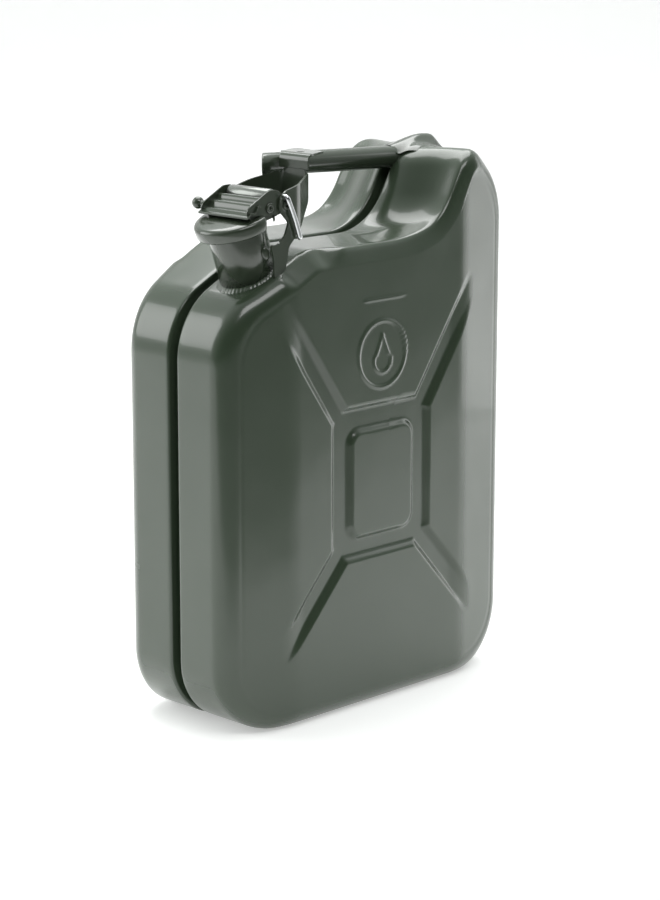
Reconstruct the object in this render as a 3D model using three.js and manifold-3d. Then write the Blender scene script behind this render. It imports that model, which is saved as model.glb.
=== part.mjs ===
// A 10-litre steel fuel can: two pressed half shells, a lever-locked filler neck and one handle.
// Millimetres. +X is the rear, +Y is the plain side, +Z is up; the origin is on the ground
// under the middle of the can.
import * as THREE from "three";
import { mergeVertices } from "three/addons/utils/BufferGeometryUtils.js";
import Module from "manifold-3d";

const wasm = await Module();
wasm.setup();

// ---------------------------------------------------------------- driving dimensions
const GAP = 0.3; // clearance between touching pieces

const CAN = {
  length: 290,
  width: 125,
  hump: 395, // height of the rear hump's top
  flat: 338, // height of the flat under the handle
  emboss: 0.8, // how far the embossed ring stands proud of the big side
  endWidth: 100, // width of the narrow front and rear faces
  bend: 58, // length of the tapered facet at each end
  edge: 13, // rounding between a big side and the rim
  wall: 1,
  bottomRadius: 50,
  rearRadius: 55,
  frontRadius: 54,
  slope: THREE.MathUtils.degToRad(26.6), // the shoulder's rise
  frontCorner: 298, // where the front face and the shoulder would meet
  knee: 30, // rounding between the shoulder and the flat
};
// The hand recess between the flat and the hump: a hollow bowl, a straight run, a round lip.
const SCOOP = { bowl: 54, lip: 24, turn: THREE.MathUtils.degToRad(60) };
const SEAM = { half: 4, depth: 9, weldHalf: 0.8, weldHeight: 2.6 };
const PANEL = { depth: 3, outerX: 49, low: 114, high: 222, corner: 14 };
const PAD = { half: 32, low: 128, high: 205, corner: 10 };
const ARM = { width: 15, reachX: 101, riseHigh: 84, riseLow: 64 };
const BADGE = { z: 258.4, radius: 24.3, line: 1.6 };

// Across the closure the sheets lie side by side: the cap's ears next to the neck, then the
// lever's arms, then the bracket's cheeks, each GAP apart.
const CLOSURE_Y = -26; // the closure sits between the seam channel and the neck-side edge
const NECK = {
  x: -97.5,
  tilt: THREE.MathUtils.degToRad(18),
  radius: 20,
  wall: 1.5,
  length: 39.5,
  inside: 8, // how far it reaches into the tank
};
const BEAD = 2.6;
const CAP = { radius: NECK.radius + 8, skirt: 8.5, sheet: 1.2, crown: 1.6, rear: -88.3 };
const GASKET = { outer: NECK.radius + 2.5, inner: NECK.radius - 2.5, thick: 2.6 };
const HINGE = { x: -84.5, z: 371.5, pin: 2.2, bore: 1.2, head: 3.4, innerHead: 3 };
const LINK = { x: -100, z: 370.6, radius: 3.6, bore: 1.6 };
const SHEET = { ear: 1.2, arm: 1.2, cheek: 1.5 };
const BRACKET = {
  backHalf: 14, // outside of the cheeks at the back wall
  backX: -51.6,
  bendX: -72, // the arms swing back beside the cheeks as far as this
};
const LEVER = { front: -121, wideX: -108, half: NECK.radius + 4.8 };
const ROLL = { x: -93.6, z: 376.8, radius: 5.8, half: NECK.radius - 0.5, wall: 1.5 };
const LOCK = { x: -86.5, z: 377.2, wire: 3, legX: 12.5, legZ: -30 };
const HANDLE = {
  front: -58.4, // at the middle of the end, which is cut at 45 degrees seen from above
  rear: 86,
  radius: 8.2,
  frontZ: CAN.hump - 2.4,
  rearZ: CAN.hump - 7.8,
  wall: 1.6,
};
const SADDLE = { x: 106, length: 46, width: 30, sheet: 1.5 };
const VENT = { radius: 4, bore: 2.8, length: 60 };
const LUG = { length: 11, width: 6.5, thick: 2.2, up: 17, back: 3 };

// ---------------------------------------------------------------- solids
function solid(geometry) {
  const g = geometry.clone();
  g.deleteAttribute("normal");
  g.deleteAttribute("uv");
  const m = mergeVertices(g, 1e-4);
  return new wasm.Manifold(
    new wasm.Mesh({
      numProp: 3,
      vertProperties: m.attributes.position.array,
      triVerts: new Uint32Array(m.index.array),
    }),
  );
}

function geometryOf(s) {
  const m = s.getMesh();
  const g = new THREE.BufferGeometry();
  g.setAttribute("position", new THREE.BufferAttribute(new Float32Array(m.vertProperties), 3));
  g.setIndex(new THREE.BufferAttribute(new Uint32Array(m.triVerts), 1));
  return g;
}

// A box from its lowest to its highest corner.
function block(x0, x1, y0, y1, z0, z1) {
  const g = new THREE.BoxGeometry(x1 - x0, y1 - y0, z1 - z0);
  g.translate((x0 + x1) / 2, (y0 + y1) / 2, (z0 + z1) / 2);
  return solid(g);
}

// The outline as straight steps, without points that repeat where two curves meet.
function stepped(shape, steps) {
  const points = shape.getPoints(steps);
  const apart = (p, q) => p.distanceTo(q) > 1e-3;
  const kept = points.filter((p, i) => apart(p, points[(i + 1) % points.length]));
  const out = new THREE.Shape(kept);
  out.holes = shape.holes;
  return out;
}

// A flat outline in X and Z, made thick along Y between y0 and y1.
function slab(shape, y0, y1, curveSegments = 6) {
  const g = new THREE.ExtrudeGeometry(stepped(shape, curveSegments), {
    depth: y1 - y0,
    bevelEnabled: false,
    curveSegments,
  });
  g.rotateX(Math.PI / 2); // the outline stands up, its thickness runs towards -Y
  g.translate(0, y1, 0);
  return solid(g);
}

function polygon(points) {
  return new THREE.Shape(points.map(([x, z]) => new THREE.Vector2(x, z)));
}

function roundedRectangle(x0, x1, z0, z1, r) {
  const s = new THREE.Shape();
  s.absarc(x1 - r, z0 + r, r, -Math.PI / 2, 0);
  s.absarc(x1 - r, z1 - r, r, 0, Math.PI / 2);
  s.absarc(x0 + r, z1 - r, r, Math.PI / 2, Math.PI);
  s.absarc(x0 + r, z0 + r, r, Math.PI, 1.5 * Math.PI);
  return s;
}

// A round solid from a profile of [radius, height] points, standing on Z.
function turned(profile, segments = 32) {
  const g = new THREE.LatheGeometry(
    profile.map(([r, h]) => new THREE.Vector2(r, h)),
    segments,
  );
  g.rotateX(Math.PI / 2);
  return solid(g);
}

// A rod of the given radius along Y between y0 and y1, through x and z.
function rodY(radius, y0, y1, x, z, segments = 20) {
  const g = new THREE.CylinderGeometry(radius, radius, y1 - y0, segments);
  g.translate(x, (y0 + y1) / 2, z);
  return solid(g);
}

function moved(s, matrix) {
  return s.transform(matrix.elements);
}

// Splits a solid at planes of constant X, moves each vertex, and joins it again,
// as a press brake folds sheet along straight lines.
function folded(s, cuts, move) {
  const big = 1000;
  const edges = [-big, ...cuts, big];
  let out = null;
  for (let i = 0; i + 1 < edges.length; i += 1) {
    const m = s.intersect(block(edges[i], edges[i + 1], -big, big, -big, big)).getMesh();
    if (m.numTri === 0) continue;
    const p = m.vertProperties;
    for (let k = 0; k < p.length; k += 3) p.set(move(p[k], p[k + 1], p[k + 2]), k);
    const piece = new wasm.Manifold(
      new wasm.Mesh({ numProp: 3, vertProperties: p, triVerts: m.triVerts }),
    );
    out = out ? out.add(piece) : piece;
  }
  return out;
}

// ---------------------------------------------------------------- the can's outline
const halfLength = CAN.length / 2;
const shoulderAt = (x) => CAN.frontCorner + (x + halfLength) * Math.tan(CAN.slope);
const scoopRun = (CAN.hump - CAN.flat - (SCOOP.lip + SCOOP.bowl) * (1 - Math.cos(SCOOP.turn)))
  / Math.sin(SCOOP.turn);
const scoopStart = halfLength - CAN.rearRadius
  - (SCOOP.lip + SCOOP.bowl) * Math.sin(SCOOP.turn) - scoopRun * Math.cos(SCOOP.turn);

// Seen from the big side: arcs joined by straight runs. `inset` moves it all inwards, so
// every arc keeps its centre, outward arcs shrink and the bowl under the handle grows.
function canOutline(inset) {
  const a = halfLength;
  const quarter = Math.PI / 2;
  const frontTangent = CAN.frontRadius * Math.tan((quarter - CAN.slope) / 2);
  const kneeX = (CAN.flat - shoulderAt(0)) / Math.tan(CAN.slope);
  const humpFront = a - CAN.rearRadius;
  const s = new THREE.Shape();
  s.absarc(a - CAN.bottomRadius, CAN.bottomRadius, CAN.bottomRadius - inset, -quarter, 0);
  s.absarc(humpFront, CAN.hump - CAN.rearRadius, CAN.rearRadius - inset, 0, quarter);
  s.absarc(humpFront, CAN.hump - SCOOP.lip, SCOOP.lip - inset, quarter, quarter + SCOOP.turn);
  s.absarc(
    scoopStart, CAN.flat + SCOOP.bowl, SCOOP.bowl + inset,
    -quarter + SCOOP.turn, -quarter, true,
  );
  s.absarc(
    kneeX + CAN.knee * Math.tan(CAN.slope / 2), CAN.flat - CAN.knee, CAN.knee - inset,
    quarter, quarter + CAN.slope,
  );
  s.absarc(
    -a + CAN.frontRadius, CAN.frontCorner - frontTangent, CAN.frontRadius - inset,
    quarter + CAN.slope, Math.PI,
  );
  s.absarc(
    -a + CAN.bottomRadius, CAN.bottomRadius, CAN.bottomRadius - inset,
    Math.PI, 3 * quarter,
  );
  return s;
}

// ---------------------------------------------------------------- shells
const bendX = halfLength - CAN.bend;
const faceHalf = CAN.width / 2 - CAN.emboss;

// Half thickness of the can at a place along its length, as a share of the middle's.
function facet(x) {
  const t = Math.max(0, Math.abs(x) - bendX) / CAN.bend;
  return 1 - t * (1 - CAN.endWidth / 2 / faceHalf);
}

// The can's body as one lump on the +Y side, shrunk by `inset` all round.
function halfLump(inset) {
  const half = faceHalf - inset;
  const edge = CAN.edge - inset;
  const g = new THREE.ExtrudeGeometry(stepped(canOutline(inset), 7), {
    depth: 2 * (half - edge),
    bevelEnabled: true,
    bevelSize: edge,
    bevelOffset: -edge,
    bevelThickness: edge,
    bevelSegments: 3,
    curveSegments: 7,
  });
  g.rotateX(Math.PI / 2);
  g.translate(0, half - edge, 0);
  return folded(solid(g), [-bendX, bendX], (x, y, z) => [x, y * facet(x), z]);
}

// The pressed X pattern: a sunk square ring round the pad and four sunk arms.
function pressedPattern(grow) {
  const y0 = faceHalf - PANEL.depth - grow;
  const y1 = CAN.width;
  const ring = slab(
    roundedRectangle(
      -PANEL.outerX - grow, PANEL.outerX + grow,
      PANEL.low - grow, PANEL.high + grow, PANEL.corner,
    ),
    y0, y1, 3,
  );
  const pad = slab(
    roundedRectangle(-PAD.half + grow, PAD.half - grow, PAD.low + grow, PAD.high - grow, PAD.corner),
    y0 - 1, y1 + 1, 3,
  );
  let out = ring.subtract(pad);
  const half = ARM.width / 2 + grow;
  for (const sx of [-1, 1]) {
    for (const sz of [-1, 1]) {
      const corner = [sx * (PANEL.outerX - 6), sz > 0 ? PANEL.high - 6 : PANEL.low + 6];
      const rise = sz > 0 ? ARM.riseHigh : ARM.riseLow;
      const end = [sx * ARM.reachX, corner[1] + sz * rise];
      const d = new THREE.Vector2(end[0] - corner[0], end[1] - corner[1]).normalize();
      const n = new THREE.Vector2(-d.y, d.x).multiplyScalar(half);
      const bar = polygon([
        [corner[0] + n.x, corner[1] + n.y],
        [corner[0] - n.x, corner[1] - n.y],
        [end[0] - n.x, end[1] - n.y],
        [end[0] + n.x, end[1] + n.y],
      ]);
      out = out.add(slab(bar, y0, y1));
    }
  }
  return out;
}

// The seam channel round the rim, and everything outside the can there.
function seamChannel(grow) {
  const around = 40;
  const big = slab(
    polygon([
      [-halfLength - around, -around],
      [halfLength + around, -around],
      [halfLength + around, CAN.hump + around],
      [-halfLength - around, CAN.hump + around],
    ]),
    -SEAM.half - grow, SEAM.half + grow,
  );
  const kept = slab(canOutline(SEAM.depth + grow), -SEAM.half - grow - 1, SEAM.half + grow + 1);
  return big.subtract(kept);
}

// A ring of the drop badge: an embossed circle with a fuel drop in it.
function badge() {
  const circle = new THREE.Shape().absarc(0, 0, BADGE.radius, 0, 2 * Math.PI);
  circle.holes.push(new THREE.Path().absarc(0, 0, BADGE.radius - BADGE.line, 0, 2 * Math.PI));
  const drop = new THREE.Shape();
  drop.moveTo(0, 14);
  drop.bezierCurveTo(4, 6, 9, 2, 9, -4);
  drop.absarc(0, -4, 9, 0, -Math.PI, true);
  drop.bezierCurveTo(-9, 2, -4, 6, 0, 14);
  const lift = new THREE.Matrix4().makeTranslation(0, 0, BADGE.z);
  const y0 = faceHalf - CAN.wall / 2;
  const y1 = CAN.width / 2;
  return [moved(slab(circle, y0, y1, 12), lift), moved(slab(drop, y0, y1, 5), lift)];
}

function halfShell() {
  const inner = halfLump(CAN.wall)
    .subtract(pressedPattern(CAN.wall))
    .subtract(seamChannel(CAN.wall));
  let s = halfLump(0).subtract(pressedPattern(0)).subtract(seamChannel(0));
  for (const b of badge()) s = s.add(b);
  s = s.subtract(inner);
  const start = SEAM.weldHalf + GAP;
  return s.intersect(block(-300, 300, start, 200, -50, 500));
}

// ---------------------------------------------------------------- the closure's own frame
const neckRoot = new THREE.Matrix4()
  .makeTranslation(NECK.x, CLOSURE_Y, shoulderAt(NECK.x))
  .multiply(new THREE.Matrix4().makeRotationY(-NECK.tilt));

function onNeck(s) {
  return moved(s, neckRoot);
}

// ---------------------------------------------------------------- pieces
const paint = { color: 0x565e54, roughness: 0.28, metalness: 0.0 };
const bright = { color: 0xc8ccd0, roughness: 0.2, metalness: 1.0 };
const rubber = { color: 0x101010, roughness: 0.8, metalness: 0.0 };
const group = new THREE.Group();

function add(name, s, finish) {
  const mesh = new THREE.Mesh(geometryOf(s), new THREE.MeshStandardMaterial(finish));
  mesh.name = name;
  group.add(mesh);
  return mesh;
}

// Shells and the weld that joins them. The neck passes through the neck-side shell.
const shell = halfShell();
const neckHole = onNeck(
  turned([[0, -30], [NECK.radius + GAP, -30], [NECK.radius + GAP, 30], [0, 30]]),
);
const acrossSeam = new THREE.Matrix4().makeScale(1, -1, 1);
add("plain_side_shell", shell, paint);
add("neck_side_shell", moved(shell, acrossSeam).subtract(neckHole), paint);

const weldTop = SEAM.depth - SEAM.weldHeight / 2;
add(
  "seam_weld",
  slab(canOutline(weldTop), -SEAM.weldHalf, SEAM.weldHalf, 7).subtract(
    slab(canOutline(weldTop + SEAM.weldHeight), -SEAM.half, SEAM.half, 7),
  ),
  paint,
);

// Filler neck, its weld bead and the air pipe inside it.
const neckBore = NECK.radius - NECK.wall;
add(
  "filler_neck",
  onNeck(
    turned([
      [neckBore, -NECK.inside],
      [NECK.radius, -NECK.inside],
      [NECK.radius, NECK.length],
      [neckBore, NECK.length],
      [neckBore, -NECK.inside],
    ], 36),
  ),
  paint,
);
const beadRing = turned([
  [NECK.radius + GAP, -12],
  [NECK.radius + BEAD, -12],
  [NECK.radius + BEAD, 2],
  [NECK.radius + BEAD / 2, BEAD + 1],
  [NECK.radius + GAP, BEAD + 1.6],
  [NECK.radius + GAP, -12],
], 36);
const outside = slab(canOutline(-GAP), -CAN.width, CAN.width, 7);
const channelSide = block(-300, 300, -SEAM.half - GAP, 100, 0, 500);
add("neck_weld", onNeck(beadRing).subtract(outside).subtract(channelSide), paint);

const ventTurn = new THREE.Matrix4().makeTranslation(neckBore - VENT.radius - GAP, 0, 0);
add(
  "air_pipe",
  onNeck(
    moved(
      turned([
        [VENT.bore, -VENT.length],
        [VENT.radius, -VENT.length],
        [VENT.radius, NECK.length - 6],
        [VENT.bore, NECK.length - 6],
        [VENT.bore, -VENT.length],
      ], 14),
      ventTurn,
    ),
  ),
  bright,
);

// Two lugs on the neck's sides.
for (const [name, side] of [["neck_lug_outer", -1], ["neck_lug_inner", 1]]) {
  const g = new THREE.CylinderGeometry(LUG.width / 2, LUG.width / 2, LUG.thick, 18);
  g.scale(1, 1, LUG.length / LUG.width);
  g.translate(LUG.back, side * (NECK.radius + GAP), LUG.up);
  const clear = turned([[0, -5], [NECK.radius + GAP, -5], [NECK.radius + GAP, 60], [0, 60]], 36);
  add(name, onNeck(solid(g).subtract(clear)), paint);
}

// Bracket: two cheeks beside the neck, a back wall and the tab that lies on the handle.
const earIn = NECK.radius + GAP;
const earOut = earIn + SHEET.ear;
const armIn = earOut + GAP;
const armOut = armIn + SHEET.arm;
const cheekIn = armOut + GAP;
const cheekOut = cheekIn + SHEET.cheek;
const cheekShape = polygon([
  [BRACKET.backX, 389.5],
  [-74.3, 383.5],
  [HINGE.x, HINGE.z + 9.5],
  [HINGE.x - 6.5, HINGE.z + 4.5],
  [HINGE.x - 6.5, HINGE.z - 3.5],
  [-86, 363],
  [-82, 359],
  [-86, 350],
  [-92, 345],
  [-99, 345],
  [-96, 334],
  [-95, 320],
  [-85, 320],
  [-82, 342],
  [-76, 348],
  [BRACKET.backX, 371],
]);
const backEdge = polygon([
  [BRACKET.backX, 371],
  [BRACKET.backX, 392.5],
  [BRACKET.backX + SHEET.cheek, 392.5],
  [BRACKET.backX + SHEET.cheek, 372],
]);
function splay(x, y, z) {
  const t = Math.min(1, Math.max(0, x - BRACKET.bendX) / (BRACKET.backX - BRACKET.bendX));
  const shift = t * (cheekOut - BRACKET.backHalf);
  return [x, y - Math.sign(y) * shift, z];
}
const cheek = slab(cheekShape, cheekIn, cheekOut);
const cheeks = folded(
  cheek.add(moved(cheek, acrossSeam)),
  [BRACKET.bendX],
  splay,
);
const pinHole = rodY(HINGE.pin + GAP, -40, 40, HINGE.x, HINGE.z);
const lockHole = rodY(LOCK.wire / 2 + GAP, -40, 0, LOCK.x, LOCK.z, 12);
const atClosure = new THREE.Matrix4().makeTranslation(0, CLOSURE_Y, 0);
const tabTop = HANDLE.frontZ + HANDLE.radius + GAP;
const tab = slab(
  polygon([
    [BRACKET.backX, 389],
    [BRACKET.backX, tabTop - 1],
    [BRACKET.backX + 2, tabTop + SHEET.cheek],
    [-24, tabTop + SHEET.cheek - 0.6],
    [-24, tabTop - 0.6],
    [BRACKET.backX + 3, tabTop],
    [BRACKET.backX + SHEET.cheek, tabTop - 3],
    [BRACKET.backX + SHEET.cheek, 389],
  ]),
  -BRACKET.backHalf, 28,
);
const tabHole = turned([[0, -9], [2.6, -9], [2.6, 9], [0, 9]], 14);
const tabHoleAt = new THREE.Matrix4().makeTranslation(-44, 2, tabTop);
const backWall = slab(backEdge, -BRACKET.backHalf, BRACKET.backHalf);
const bracket = cheeks
  .add(backWall)
  .add(tab)
  .subtract(pinHole)
  .subtract(lockHole)
  .subtract(moved(tabHole, tabHoleAt));
const handleAxis = new THREE.Vector3(
  HANDLE.rear - HANDLE.front, 0, HANDLE.rearZ - HANDLE.frontZ,
);
function handleRod(radius, extra) {
  const long = handleAxis.length() + 2 * extra;
  const g = new THREE.CylinderGeometry(radius, radius, long, 24);
  g.rotateZ(-Math.PI / 2);
  g.rotateY(-Math.atan2(handleAxis.z, handleAxis.x));
  g.translate(
    (HANDLE.front + HANDLE.rear) / 2, 0, (HANDLE.frontZ + HANDLE.rearZ) / 2,
  );
  return solid(g);
}
const handleClear = handleRod(HANDLE.radius + GAP, GAP);
add(
  "closure_bracket",
  moved(bracket, atClosure)
    .subtract(handleRod(HANDLE.radius + GAP, HANDLE.radius + 1))
    .subtract(outside),
  paint,
);

// Two hollow rivets hinge the cap's ears and the lever's arms in the bracket's cheeks.
const rivet = rodY(HINGE.pin, earIn - GAP - 0.5, cheekOut + GAP + 0.5, HINGE.x, HINGE.z)
  .add(rodY(HINGE.innerHead, earIn - GAP - 1, earIn - GAP, HINGE.x, HINGE.z))
  .add(rodY(HINGE.head, cheekOut + GAP, cheekOut + GAP + 1, HINGE.x, HINGE.z))
  .subtract(rodY(HINGE.bore, cheekOut - 2, cheekOut + 5, HINGE.x, HINGE.z, 12));
add("hinge_rivet_inner", moved(rivet, atClosure), paint);
add("hinge_rivet_outer", moved(moved(rivet, acrossSeam), atClosure), paint);

// Cap: a round dished lid whose skirt runs back as two ears to the hinge pin.
const capAt = neckRoot.clone().multiply(
  new THREE.Matrix4().makeTranslation(0, 0, NECK.length + GASKET.thick + 2 * GAP),
);
const lidOuter = turned([
  [0, -CAP.skirt + CAP.sheet],
  [CAP.radius, -CAP.skirt + CAP.sheet],
  [CAP.radius, -0.6],
  [CAP.radius - 1.4, CAP.sheet],
  [0, CAP.sheet + CAP.crown],
], 44);
const lidInner = turned([
  [0, -CAP.skirt - 5],
  [CAP.radius - CAP.sheet, -CAP.skirt - 5],
  [CAP.radius - CAP.sheet, 0],
  [0, 0],
], 44);
const capMiddle = NECK.x - Math.sin(NECK.tilt) * NECK.length;
const sideFrom = capMiddle + 4; // behind this line the cap is only as wide as its ears
const ear = polygon([
  [sideFrom - 10, 367.4],
  [HINGE.x - 4.8, HINGE.z + 0.6],
  [HINGE.x - 2.4, HINGE.z + 4.6],
  [HINGE.x + 3, HINGE.z + 4.6],
  [HINGE.x + 5.5, HINGE.z],
  [HINGE.x + 3, HINGE.z - 4.6],
  [HINGE.x - 8, HINGE.z - 8],
  [sideFrom - 10, 357],
]);
const earSlab = slab(ear, earIn, earOut);
const besideEars = block(sideFrom, 0, earOut, 60, 300, 420);
const behindLid = block(CAP.rear, 0, -60, 60, 300, 420);
const sideCuts = besideEars.add(moved(besideEars, acrossSeam)).add(behindLid);
const lid = moved(lidOuter.subtract(lidInner), capAt).subtract(moved(sideCuts, atClosure));
const bothEars = earSlab.add(moved(earSlab, acrossSeam)).subtract(pinHole);
const neckClear = onNeck(
  turned([[0, -5], [NECK.radius + GAP, -5], [NECK.radius + GAP, NECK.length + GAP],
    [GASKET.outer + GAP, NECK.length + GAP], [GASKET.outer + GAP, NECK.length + GASKET.thick + 2 * GAP],
    [0, NECK.length + GASKET.thick + 2 * GAP]], 36),
);
add("cap", lid.add(moved(bothEars, atClosure)).subtract(neckClear), paint);

const gasketCut = block(-300, 300, earIn - GAP, 60, 200, 500);
const gasketCuts = gasketCut.add(moved(gasketCut, acrossSeam)).add(behindLid);
add(
  "cap_gasket",
  onNeck(
    turned([
      [GASKET.inner, NECK.length + GAP],
      [GASKET.outer, NECK.length + GAP],
      [GASKET.outer, NECK.length + GAP + GASKET.thick],
      [GASKET.inner, NECK.length + GAP + GASKET.thick],
      [GASKET.inner, NECK.length + GAP],
    ], 36),
  ).subtract(moved(gasketCuts, atClosure)),
  rubber,
);

// Lever: side arms inside the cheeks and a ribbed cross plate over the cap.
const armShape = polygon([
  [HINGE.x + 5, HINGE.z],
  [HINGE.x + 3, HINGE.z + 4.6],
  [HINGE.x - 2, HINGE.z + 6.5],
  [-90, 382.4],
  [-99, 382.4],
  [-117.5, 373.2],
  [LEVER.front, 368],
  [-118.5, 365.6],
  [-104, 369.2],
  [-98, 367.2],
  [HINGE.x - 3, HINGE.z - 4.6],
  [HINGE.x + 3, HINGE.z - 4.6],
]);
const leverArm = slab(armShape, armIn, armOut);
const plateShape = polygon([
  [-119.6, 365.4],
  [LEVER.front, 367],
  [-117.4, 372.4],
  [-116.2, 375.2],
  [-114.2, 375.8],
  [-112.6, 375.4],
  [-111.2, 378],
  [-109.2, 378.8],
  [-106, 378.8],
  [-99.6, 381],
  [-99.6, 379.4],
  [-106, 377.2],
  [-110.2, 376.8],
  [-111.8, 374],
  [-114.6, 374],
  [-116.2, 371.4],
]);
const wide = block(-200, LEVER.wideX, -60, 60, 300, 420);
const narrow = block(LEVER.wideX, 0, -60, 60, 300, 420);
const plate = slab(plateShape, -LEVER.half, LEVER.half).intersect(wide)
  .add(slab(plateShape, -armOut, armOut).intersect(narrow));
const linkHole = rodY(LINK.bore + GAP, -40, 40, LINK.x, LINK.z, 14);
const lever = leverArm
  .add(moved(leverArm, acrossSeam))
  .add(plate)
  .subtract(pinHole)
  .subtract(linkHole);
add("lever", moved(lever, atClosure), paint);

// Two hollow link rivets in the lever's arms.
const link = rodY(LINK.radius, armOut + GAP, armOut + GAP + 1.2, LINK.x, LINK.z, 20)
  .add(rodY(LINK.bore, armIn, armOut + GAP + 0.5, LINK.x, LINK.z, 14))
  .subtract(rodY(LINK.bore - 0.7, armIn + 0.6, cheekOut + 5, LINK.x, LINK.z, 12));
add("link_rivet_inner", moved(link, atClosure), paint);
add("link_rivet_outer", moved(moved(link, acrossSeam), atClosure), paint);

// Roll across the lever: the cam that presses the cap shut.
const roll = rodY(ROLL.radius, -ROLL.half, ROLL.half, ROLL.x, ROLL.z, 24)
  .subtract(rodY(ROLL.radius - ROLL.wall, -40, 40, ROLL.x, ROLL.z, 24));
add("lever_roll", moved(roll, atClosure), paint);
const rollPinHalf = armIn - GAP;
add(
  "roll_pin",
  moved(
    rodY(ROLL.radius - ROLL.wall - GAP, -rollPinHalf, rollPinHalf, ROLL.x, ROLL.z, 20),
    atClosure,
  ),
  paint,
);

// Round grip knob on the lever's inner end.
const knobX = -114.6;
const knobZ = 370.6;
const knobBall = new THREE.SphereGeometry(4.2, 16, 12);
knobBall.translate(knobX, LEVER.half + 6, knobZ);
const knob = rodY(1.5, armOut + GAP, LEVER.half + 4, knobX, knobZ, 12).add(solid(knobBall));
add("lever_knob", moved(knob, atClosure), paint);

// Locking pin: a bent bright wire, pushed through the outer cheek.
const legY = cheekOut + 3.2; // the leg hangs clear of the hinge rivet's head
const wire = rodY(LOCK.wire / 2, -legY - LOCK.wire / 2, -cheekIn - 0.2, LOCK.x, LOCK.z, 12);
const legLine = new THREE.LineCurve3(
  new THREE.Vector3(LOCK.x, -legY, LOCK.z),
  new THREE.Vector3(LOCK.x + LOCK.legX, -legY, LOCK.z + LOCK.legZ),
);
const wireSection = new THREE.Shape().absarc(0, 0, LOCK.wire / 2, 0, 2 * Math.PI);
const leg = new THREE.ExtrudeGeometry(wireSection, {
  extrudePath: legLine, steps: 1, curveSegments: 6,
});
add("locking_pin", moved(wire.add(solid(leg)), atClosure), bright);

// Handle tube and the saddle that spreads it over the hump.
const bore = handleRod(HANDLE.radius - HANDLE.wall, 5);
const mitre = polygon([[-30, -30], [30, 30], [-60, 30], [-60, -30]]); // X and Y, off the front end
const mitreCut = solid(new THREE.ExtrudeGeometry(mitre, { depth: 60, bevelEnabled: false }))
  .translate([HANDLE.front, 0, HANDLE.frontZ - 30]);
add(
  "handle_tube",
  handleRod(HANDLE.radius, HANDLE.radius + 1)
    .subtract(bore)
    .subtract(outside)
    .subtract(mitreCut)
    .subtract(block(HANDLE.rear, CAN.length, -30, 30, 0, 2 * CAN.hump)),
  paint,
);

const saddleShape = new THREE.Shape().absellipse(
  SADDLE.x, 0, SADDLE.length / 2, SADDLE.width / 2, 0, 2 * Math.PI,
);
const saddleSheet = new THREE.ExtrudeGeometry(saddleShape, {
  depth: SADDLE.sheet, bevelEnabled: false, curveSegments: 10,
});
saddleSheet.translate(0, 0, CAN.hump + GAP);
const handleEnd = block(0, HANDLE.rear + GAP, -30, 30, 0, 2 * CAN.hump);
add("handle_saddle", solid(saddleSheet).subtract(handleEnd).subtract(handleClear), paint);

export default group;
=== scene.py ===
# %% [markdown]
# # A ten litre steel fuel can
# Two deep-drawn half shells are welded along a channel round the rim. A tilted filler neck
# stands on one half, shut by a lever-locked cap in a folded bracket, and one tube handle runs over
# the top.
# Everything that moves or fits was designed in CAD and is loaded first, as a frame that never
# moves. What follows adds the fine surface: drawn sheet, rolled edges, enamel and zinc.

# %% Load the frame
import math

import bmesh
import bpy
import numpy as np
from mathutils import Matrix, Vector


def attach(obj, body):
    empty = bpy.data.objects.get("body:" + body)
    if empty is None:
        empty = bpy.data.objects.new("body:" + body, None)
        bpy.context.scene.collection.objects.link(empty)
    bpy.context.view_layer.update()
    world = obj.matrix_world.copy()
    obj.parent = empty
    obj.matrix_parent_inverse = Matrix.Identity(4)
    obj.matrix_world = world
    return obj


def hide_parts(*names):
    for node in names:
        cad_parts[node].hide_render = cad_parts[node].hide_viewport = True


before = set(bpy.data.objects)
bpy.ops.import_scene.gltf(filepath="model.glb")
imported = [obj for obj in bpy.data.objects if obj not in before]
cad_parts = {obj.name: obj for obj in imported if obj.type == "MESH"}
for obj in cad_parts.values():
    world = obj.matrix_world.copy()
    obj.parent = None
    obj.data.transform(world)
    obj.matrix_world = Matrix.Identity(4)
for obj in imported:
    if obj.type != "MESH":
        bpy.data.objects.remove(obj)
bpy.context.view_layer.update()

MM = 0.001

# %% [markdown]
# ## Camera
# The can is seen from its front left corner, a little from above. The camera is made first, and
# it looks at a point on the can's middle line. The lens is long, so the sides stay nearly parallel.

# %% Camera
VIEW_AZIMUTH = math.radians(-45.28)
VIEW_HEIGHT = math.radians(12.25)
VIEW_DISTANCE = 1.9012
LOOK_AT = Vector((0, 0, 0.2))
LENS = 104.083  # on a 36 mm sensor

back = Vector((
    math.sin(VIEW_AZIMUTH) * math.cos(VIEW_HEIGHT),
    -math.cos(VIEW_AZIMUTH) * math.cos(VIEW_HEIGHT),
    math.sin(VIEW_HEIGHT),
))
camera = bpy.data.objects.new("camera", bpy.data.cameras.new("camera"))
bpy.context.scene.collection.objects.link(camera)
camera.location = LOOK_AT + back * VIEW_DISTANCE
camera.rotation_euler = back.to_track_quat("Z", "Y").to_euler()
camera.data.lens = LENS
camera.data.sensor_width = 36
camera.data.shift_x = 0.01046
camera.data.shift_y = -0.0321
bpy.context.scene.camera = camera
print("camera at", tuple(round(c, 3) for c in camera.location))

# %% [markdown]
# ## Shader sums written as sums
# A shader is a graph of small nodes. Written one by one it hides the thought behind it, so this
# class wraps a socket and lets `1 - mask` or `a * 0.5` add the Math nodes. Every other node comes
# from the one method `node`.

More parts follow.
